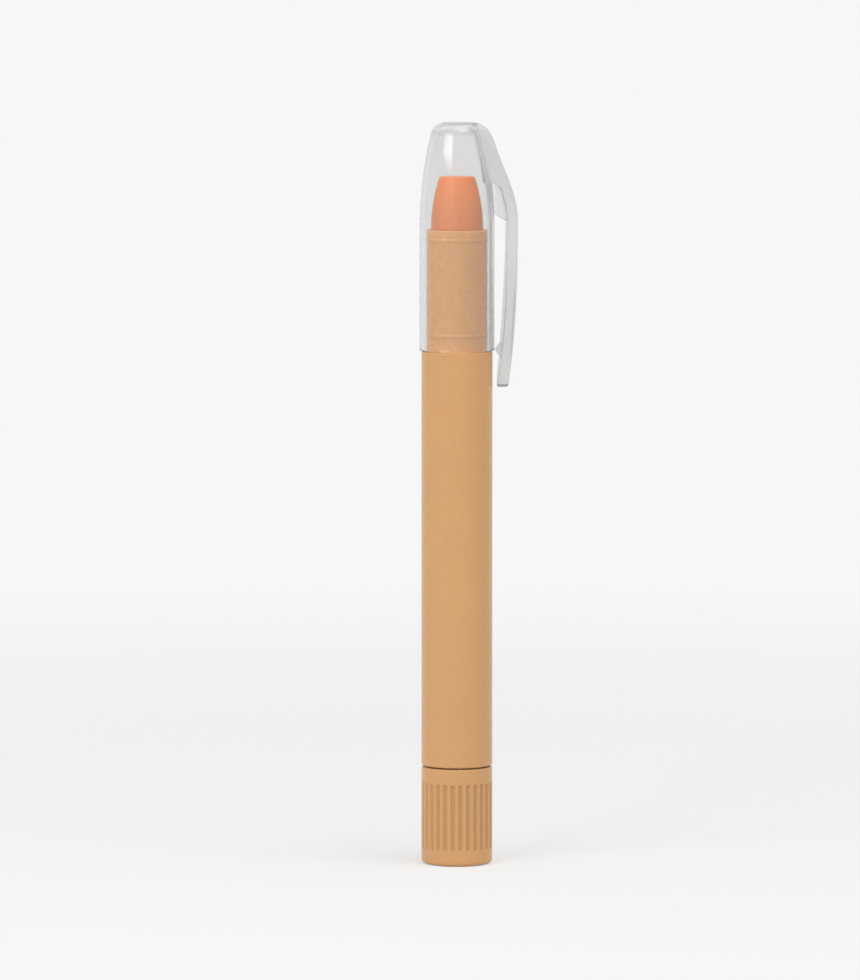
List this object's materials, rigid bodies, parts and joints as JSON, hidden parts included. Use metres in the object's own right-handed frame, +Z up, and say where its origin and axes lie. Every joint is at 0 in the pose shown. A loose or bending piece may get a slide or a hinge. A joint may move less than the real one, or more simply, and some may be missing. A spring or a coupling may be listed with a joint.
{
  "type": "twist crayon",
  "caption": "Twist-up gel crayon: a fluted knob winds a coloured gel stick out of a slim round barrel, under a clear domed cap with a clip.",
  "frame": {"origin": "centre of the knob's flat foot, on the crayon's axis", "axes": "+Z up the axis towards the tip, +X towards the cap's clip"},
  "size_m": [0.02, 0.0154, 0.1518],
  "materials": {
    "barrel_plastic": "moulded peach polypropylene, satin gloss",
    "white_plastic": "natural white moulding",
    "ring_rubber": "greased rubber",
    "gel": "waxy gel, soft sheen",
    "clear_plastic": "clear polypropylene, slightly milky"
  },
  "bodies": {
    "barrel": {"barrel": "barrel_plastic", "guide_sleeve": "barrel_plastic"},
    "knob": {"twist_knob": "barrel_plastic", "drive_screw": "white_plastic", "friction_ring": "ring_rubber"},
    "stick": {"push_rod": "white_plastic", "carrier_cup": "white_plastic", "gel_stick": "gel"},
    "cap": {"cap": "clear_plastic"}
  },
  "joints": [
    {"name": "knob_twist", "type": "hinge", "parent": "barrel", "child": "knob", "pos_m": [0, 0, 0.02], "axis": [0, 0, 1], "range_deg": [0, 510]},
    {"name": "stick_slide", "type": "slide", "parent": "barrel", "child": "stick", "axis": [0, 0, 1], "range_m": [0, 0.0085]},
    {"name": "cap_pull", "type": "slide", "parent": "barrel", "child": "cap", "axis": [0, 0, 1], "range_m": [0, 0.05]}
  ],
  "couplings": [
    {"joint": "stick_slide", "follows": "knob_twist", "m_per_rad": 0.00095493}
  ]
}
